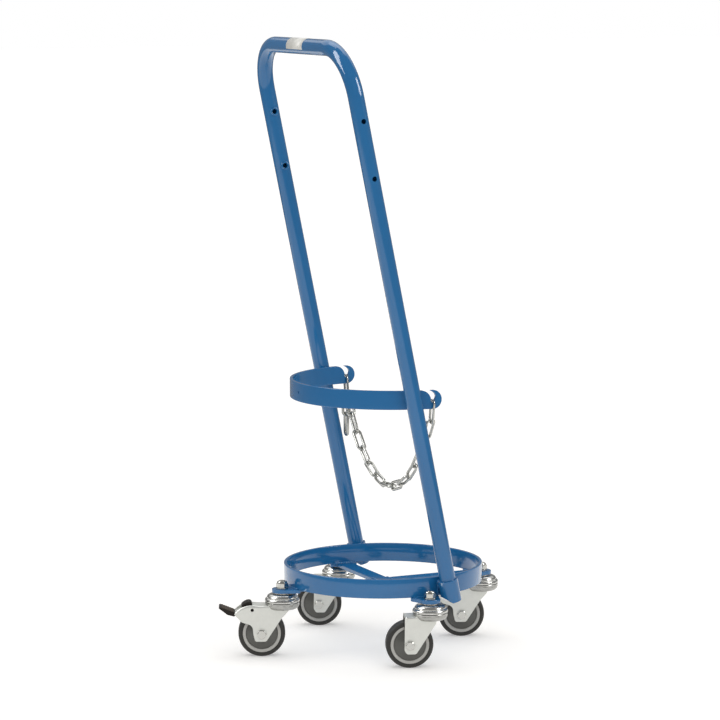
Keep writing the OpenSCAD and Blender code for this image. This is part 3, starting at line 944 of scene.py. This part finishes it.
# %% [markdown]
# ## Forks
# A fork is pressed from sheet: two cheeks, a crown bent between them and a bowl for the balls. Bending flat
# sheet with modifiers is hard to steer, so a block with the side outline gets its bends from Bevel and is
# then hollowed from below. Drills make the holes.


# %% Fork outlines
def rounded(outline, radius, steps=4):
    """An outline with each corner replaced by a curve that starts a radius before it."""
    points = []
    corners = [Vector(p) for p in outline]
    for k, corner in enumerate(corners):
        back = corners[k - 1] - corner
        onward = corners[(k + 1) % len(corners)] - corner
        first = corner + back.normalized() * min(radius, 0.45 * back.length)
        last = corner + onward.normalized() * min(radius, 0.45 * onward.length)
        for step in range(steps + 1):
            t = step / steps
            points.append(tuple((1 - t) ** 2 * first + 2 * t * (1 - t) * corner + t**2 * last))
    return points


CROWN_LOW = 80.5
PLAIN_SIDE = [(-10, 83), (41, 83), (42, 29.5), (38, 23.5), (23.5, 23.5), (-8, 72)]
BRAKED_SIDE = (
    [(-10, 83), (41, 83)]
    + arc((50, 50), 34, 94, 38, 10)
    + [(74, 67), (65, 57)]
    + arc((57, 44), 10, 110, 180, 6)
    + [(46.5, 37.5), (44, 27), (42, 25.5), (26, 25.5), (1.5, 62.7), (-8, 72)]
)
PLAIN_HOLLOW = [(-30, CROWN_LOW), (100, CROWN_LOW), (100, 0), (-30, 0)]
BRAKED_HOLLOW = (
    [(-30, CROWN_LOW), (43.6, CROWN_LOW), (45, 82), (47.8, 82)]
    + [(47.8, 100), (100, 100), (100, 0), (-30, 0)]
)
print("fork outlines of", len(PLAIN_SIDE), "and", len(BRAKED_SIDE), "points")

# %% Forks
TRAIL = 33
AXLE_Z = 37.5
PIVOT = (48, 0, 76.5)
CHEEK = 18
INSIDE = 15.5
CORNER_R = 2.5
CROWN_BEND = 3.5
CROWN_FRONT = -7
SWIVEL_HOLE_R = 7.6
AXLE_HOLE_R = 4.1
PIN_HOLE_R = 2.6


def pressed_fork(kind, side, hollow, shoulder_low):
    """A hollow fork whose crown turns down into the cheeks with a bend, above a height."""
    fork = plate(kind + "_fork_pattern", rounded(side, CORNER_R), -CHEEK, CHEEK)

    def along_crown(edge):
        a, b = (fork.data.vertices[v].co / MM for v in edge.vertices)
        return min(a.z, b.z) > shoulder_low and max(a.x, b.x) > CROWN_FRONT and abs(a.y - b.y) < 0.1

    choose(fork, "EDGE", along_crown)
    bpy.ops.mesh.bevel(offset=CROWN_BEND * MM, segments=5, affect="EDGES")
    tidy_shell(fork)
    combine(fork, plate("hollow", hollow, -INSIDE, INSIDE), "DIFFERENCE")
    combine(fork, rod("pivot_drill", (0, 0, 60), (0, 0, 90), SWIVEL_HOLE_R), "DIFFERENCE")
    axle_drill = rod("axle_drill", (TRAIL, -30, AXLE_Z), (TRAIL, 30, AXLE_Z), AXLE_HOLE_R)
    return combine(fork, axle_drill, "DIFFERENCE")


plain_fork = pressed_fork("plain", PLAIN_SIDE, PLAIN_HOLLOW, shoulder_low=82.5)
cast(soften(plain_fork, width=0.4, segments=2), "fork", UNBRAKED, satin_zinc)
braked_fork = pressed_fork("braked", BRAKED_SIDE, BRAKED_HOLLOW, shoulder_low=70)
pin_drill = rod("pin_drill", (PIVOT[0], -30, PIVOT[2]), (PIVOT[0], 30, PIVOT[2]), PIN_HOLE_R)
combine(braked_fork, pin_drill, "DIFFERENCE")
cast(soften(braked_fork, width=0.4, segments=2), "fork", BRAKED, satin_zinc)

# %% [markdown]
# ## Bowls
# The press also draws a round bowl into the crown, in which the balls run. It could be cut from the fork's
# block, but a turned bowl is rounder, and as a piece of its own it can keep the brighter skin that drawn
# metal has, in a darker tone with heavier patches that paint the shade and dark reflections under the head.

# %% Bowls
bowl_line = (
    [(7.6, 76.9), (11.9, 76.9), (12.2, 75.6), (18.8, 75.6)]
    + arc((19.6, 83.4), 7.8, -84, 0, 8)
    + [(27.2, 85.4), (27.5, 86.2), (27.2, 86.9), (22.9, 86.9)]
    + arc(BALL_RACE, RACE_R, -5, -175, 10)
    + [(14.1, 86.9), (7.6, 86.9)]
)
bowl = about_swivel("bowl_pattern", bowl_line)
# The bowls take the darker zinc, which paints the shade and dark reflections under each head.
for name, place in CORNERS.items():
    dress(copy_of(bowl, "bowl_" + name, place), "caster_" + name, drawn_bowl_zinc_painted_shade)
patterns.append(bowl)

# %% [markdown]
# ## Wheels
# A wheel is a light core with a rubber tyre moulded round it. A cylinder with bevelled edges would do from
# afar, but tyre, core and thread guards are all round, so each is a profile turned about the axle. The
# guards are shallow cones that rise to the hub and keep threads out of it.

# %% Wheel
hub = (TRAIL, 0, AXLE_Z)


def about_axle(name, profile):
    """Turns a profile of radius and place along the axle."""
    return turned(name, [(TRAIL + r, y, AXLE_Z) for r, y in profile], hub, ACROSS)


def mirrored(profile):
    """A half profile from the middle outwards, closed by its mirror image."""
    return [(r, -y) for r, y in reversed(profile)] + profile


tyre_tread = [(37.5, 0), (37.4, 5)] + arc((33.0, 8.1), 4.4, 0, 84, 6)
tyre_wall = [(30.6, 12.5), (30.3, 12.3), (30.3, 12.1), (31.25, 12.1)]
tyre = about_axle("tyre_pattern", mirrored(tyre_tread + tyre_wall))
cast(tyre, "tyre", CORNERS, tread_rubber)
core_rim = [(31.2, 11.6), (30.9, 12.0), (26.6, 12.0), (25.7, 11.4), (25.5, 9.5)]
core_web = [(24.5, 4.5), (22, 3.2), (16, 3.0), (13, 4.0)]
core_hub = [(11.6, 8), (11.4, 10.2), (10.8, 14.2), (10.4, 14.6), (6.1, 14.6)]
core = about_axle("core_pattern", mirrored(core_rim + core_web + core_hub))
cast(core, "wheel_core", CORNERS, core_plastic)

# %% Thread guards
guard_face = [(6.2, 14.8), (6.2, 15.3), (11.4, 15.3), (12.6, 15.0), (16.0, 13.9), (20.0, 12.6), (23.6, 11.4)]
guard_edge = [(24.8, 11.1), (25.2, 10.8), (25.2, 10.1), (24.4, 10.3)]
guard_back = [(20.0, 11.8), (16.0, 13.1), (12.4, 14.3), (11.2, 14.7)]
guard_line = guard_face + guard_edge + guard_back
guard_pair = [about_axle("guard", guard_line), about_axle("guard", [(r, -y) for r, y in guard_line])]
cast(joined(guard_pair), "thread_guards", CORNERS, guard_plastic)

# %% [markdown]
# ## Bolts
# A hexagon alone looks cut from a sheet. Real heads and nuts are chamfered on a lathe, so each hexagon is
# intersected with a turned double cone, which leaves the curved facet edges. A Bevel would leave them
# straight.


# %% Bolt heads and nuts
def hexagon(centre, across_flats, turn):
    return arc(centre, across_flats / math.sqrt(3), turn, turn + 300, 5)


def bolt_turned(name, profile):
    """Turns a profile of radius and place along Y at the origin."""
    return turned(name, [(r, y, 0) for r, y in profile], (0, 0, 0), ACROSS, 48)


def chamfered_hex(name, across_flats, low, high, turn, crown=0.9):
    """A hexagon prism along Y at the origin, chamfered at both ends."""
    block = plate(name, hexagon((0, 0), across_flats, turn), low, high)
    flat = across_flats / 2 * 0.96
    wide = across_flats * 0.62
    cone = [(0, low), (flat, low), (wide, low + crown), (wide, high - crown), (flat, high), (0, high)]
    return soften(combine(block, bolt_turned("cone", cone), "INTERSECT"), width=0.15, segments=2)


# %% Axles
AXLE_FLATS = 13
AXLE_HEAD = 5
AXLE_NUT = 6
AXLE_R = 4
AXLE_END = -26.2
AXLE_CHAMFER = 0.8
axle_top = CHEEK + 1
axle_tip = [(0, AXLE_END), (AXLE_R - AXLE_CHAMFER, AXLE_END), (AXLE_R, AXLE_END + AXLE_CHAMFER)]
axle_head = chamfered_hex("axle_pattern", AXLE_FLATS, CHEEK, CHEEK + AXLE_HEAD, turn=0, crown=1.4)
axle_nut = chamfered_hex("axle_nut", AXLE_FLATS, -CHEEK - AXLE_NUT, -CHEEK, turn=40)
axle_rod = bolt_turned("axle_rod", axle_tip + [(AXLE_R, axle_top), (0, axle_top)])
axle = at(joined([axle_head, axle_nut, axle_rod]), Matrix.Translation(Vector(hub) * MM))
cast(axle, "axle", CORNERS, bolt_zinc)

# %% Lock nuts on the casters' bolts
NUT_FLATS = 17
NUT_LOW = 110
NUT_HEX = 7
NUT_COLLAR = [(5.2, 6.5), (8.2, 6.5), (8.0, 8.6), (7.2, 9.8), (5.6, 10.0), (5.2, 9.8)]
upright = Matrix.Rotation(math.pi / 2, 4, "X")
nut_hex = chamfered_hex("nut_pattern", NUT_FLATS, 0, NUT_HEX, turn=10, crown=1.1)
nut = joined([nut_hex, bolt_turned("nut_collar", NUT_COLLAR)])
at(nut, Matrix.Translation((0, 0, NUT_LOW * MM)) @ upright)
nuts = [copy_of(nut, "lock_nut", place) for place in CORNERS.values()]
settle(joined(nuts), "lock_nuts", bolt_zinc)
settle(soften(cad_copy("caster_bolts"), width=0.4), "caster_bolts", bolt_zinc)
patterns.append(nut)

# %% [markdown]
# ## Brake levers
# A steel lever swings on a hollow pin between the cheeks of a braked fork. The lever is cut from sheet and
# could be extruded again, but its CAD shape is exact, so a copy gets rounded edges. The pin is a short tube,
# turned like the wheels.

# %% Lever and pin
PIN_BORE_R = 1.65
PIN_R = 2.45
PIN_HALF = 17.4
for name in BRAKED:
    lever = "brake_lever_" + name
    settle(soften(cad_copy(lever), width=0.3, segments=2), lever, satin_zinc)
pin_wall = [(PIN_BORE_R, -PIN_HALF), (PIN_R, -PIN_HALF), (PIN_R, PIN_HALF), (PIN_BORE_R, PIN_HALF)]
pin_line = [(PIVOT[0] + r, y, PIVOT[2]) for r, y in pin_wall]
pin = turned("pin_pattern", pin_line, PIVOT, ACROSS, 32)
cast(pin, "brake_pin", BRAKED, black_oxide)

# %% [markdown]
# ## Pedals
# A dark moulded pedal is clipped over the outer end of each lever. It could be sculpted, but its side view
# says nearly all, so that outline is extruded across the wheel and its edges are rounded. A thin plate with
# ribs lies on the top, in a paler finish that is painted light from above. The ribs keep a shoe from slipping.

# %% Pedal
PEDAL_HALF = 15.3
PEDAL_ROOT = Vector((75.9, 72.3))
PEDAL_TIP = Vector((98.0, 80.9))
PEDAL_NOSE = [(101.6, 79.6), (100.1, 81.2)]
PEDAL_UNDER = [(74.8, 67.2), (77.0, 65.9), (87.4, 68.6)]
pedal_side = PEDAL_NOSE + [PEDAL_TIP, PEDAL_ROOT] + PEDAL_UNDER
pedal = soften(plate("pedal_pattern", pedal_side, -PEDAL_HALF, PEDAL_HALF), width=1.0)
cast(pedal, "brake_pedal", BRAKED, pedal_plastic)

# %% Paler tread on the pedal, painted light from above
TREAD_HALF = PEDAL_HALF - 1.6
TREAD_CORNERS = ((0.08, -1), (0.08, 1), (0.96, 1), (0.96, -1))
TREAD_LIFT = 0.3
RIB_COUNT = 6
RIB_R = 0.6
top_run = PEDAL_TIP - PEDAL_ROOT
slope = math.degrees(math.atan2(top_run.y, top_run.x))
lift = Vector((-top_run.y, top_run.x)).normalized() * TREAD_LIFT
tread_side = [PEDAL_ROOT + top_run * share + lift * k for share, k in TREAD_CORNERS]
ribs = [plate("tread", tread_side, -TREAD_HALF, TREAD_HALF)]
for k in range(RIB_COUNT):
    spot = PEDAL_ROOT + lift + top_run * (k + 1.2) / (RIB_COUNT + 1)
    rib_side = arc(spot, RIB_R, slope, slope + 180, 6)
    ribs.append(smooth(plate("rib", rib_side, -TREAD_HALF + RIB_R, TREAD_HALF - RIB_R)))
tread = joined(ribs)
# The paler finish on the top of each pedal is painted light from above.
for name in BRAKED:
    piece = copy_of(tread, "pedal_tread_" + name, CORNERS[name])
    dress(piece, body_of_node["brake_pedal_" + name], painted_light_plastic)
patterns.append(tread)

# %% [markdown]
# ## Release pads
# A rounded pad on top of the lever, pressed with a toe, lets the wheel go again. It is the same kind of
# moulding as the pedal and is made the same way, with a wider Bevel because its edges are rounder.

# %% Release pad
PAD_HALF = 12.4
PAD_BACK = [(49.8, 79.4), (48.6, 83.4), (48.9, 86.2), (50.6, 88.2), (53.2, 88.9)]
PAD_SLOPE = [(56.8, 88.4), (60.4, 86.8), (63.8, 84.4), (66.0, 81.8), (64.0, 79.8), (60.0, 77.8)]
pad_block = plate("pad_pattern", PAD_BACK + PAD_SLOPE, -PAD_HALF, PAD_HALF)
pad = soften(pad_block, width=1.6, segments=4, angle=35)
cast(pad, "release_pad", BRAKED, pedal_plastic)

# %% [markdown]
# ## Chain
# A link is bent from wire. A ring could be extruded along its path, but a torus whose halves are pulled
# apart has the same even bends at once. The CAD chain says where each link lies: its points spread furthest
# along the link, less across it and least through it, and those three directions are the axes of its frame.
# The links that hang free are of slightly stouter wire than the hooked ones.

# %% One link
LINK_BEND = 6
LINK_STRAIGHT = 25.2
FINE_WIRE_R = 2.0
STOUT_WIRE_R = 2.3


def chain_link(name, wire):
    """A link along X of wire with this radius, flat in X and Y."""
    rest_selection()
    sizes = {"major_radius": LINK_BEND * MM, "minor_radius": wire * MM}
    bpy.ops.mesh.primitive_torus_add(major_segments=30, minor_segments=16, **sizes)
    link = bpy.context.object
    link.name = name
    choose(link, "FACE", lambda face: face.center.x > 0.1 * MM)
    bpy.ops.transform.translate(value=(LINK_STRAIGHT * MM, 0, 0))
    bpy.ops.object.mode_set(mode="OBJECT")
    return smooth(at(link, Matrix.Translation((-LINK_STRAIGHT / 2 * MM, 0, 0))), 180)


fine_link = chain_link("fine_link", FINE_WIRE_R)
stout_link = chain_link("stout_link", STOUT_WIRE_R)
print("links", LINK_STRAIGHT + 2 * (LINK_BEND + FINE_WIRE_R), "mm long")

# %% Chain links
FREE_BELOW = band_low.z - 10


def lie_of(part):
    """A link's frame from the spread of its points."""
    points = np.array([vertex.co for vertex in part.data.vertices])
    rough = points.mean(axis=0)
    axes = np.linalg.eigh(np.cov((points - rough).T))[1]
    spread = (points - rough) @ axes
    middle = rough + axes @ ((spread.min(axis=0) + spread.max(axis=0)) / 2)
    along = Vector(axes[:, 2])
    across = Vector(axes[:, 1])
    turn = Matrix((along, across, along.cross(across))).transposed().to_4x4()
    return Matrix.Translation(Vector(middle)) @ turn


for node in ("safety_chain", "chain_tail"):
    pick(cad_copy(node, False))
    bpy.ops.mesh.separate(type="LOOSE")
    links = []
    for part in list(bpy.context.selected_objects):
        place = lie_of(part)
        pattern = stout_link if place.translation.z < FREE_BELOW * MM else fine_link
        links.append(copy_of(pattern, node + "_links", place))
        bpy.data.objects.remove(part)
    settle(joined(links), node, chain_zinc)
patterns += [fine_link, stout_link]

# %% [markdown]
# ## Label
# The label is a blank pale film on the top bar. A plane could be wrapped round the tube with Shrinkwrap, but
# the CAD sheet follows the tube already. So a copy of it is used, made a little narrower by a matrix that
# scales along X about the middle of the handle.

# %% Label
LABEL_SHARE = 0.86
label = smooth(cad_copy("blank_label", False), 60)
to_middle = Matrix.Translation(Vector((ring_mid.x, 0, 0)) * MM)
at(label, to_middle @ Matrix.Diagonal((LABEL_SHARE, 1, 1, 1)) @ to_middle.inverted())
settle(label, "blank_label", label_film)

# %% [markdown]
# ## What stays as it comes from CAD
# The balls of the races and the bushes of the wheels are hidden by other pieces. Modelling them again would
# show nothing new, so the CAD meshes stay and only take a steel finish. The patterns have been copied to
# every caster by now and are removed.

# %% Hidden steel
STAYS = ["race_balls"] + ["wheel_bush_" + name for name in CORNERS]
for node in STAYS:
    thing = frame["nodes"][node]
    thing.data.materials.clear()
    thing.data.materials.append(bearing_steel)
for pattern in patterns:
    bpy.data.objects.remove(pattern)
print("kept from CAD:", ", ".join(STAYS))
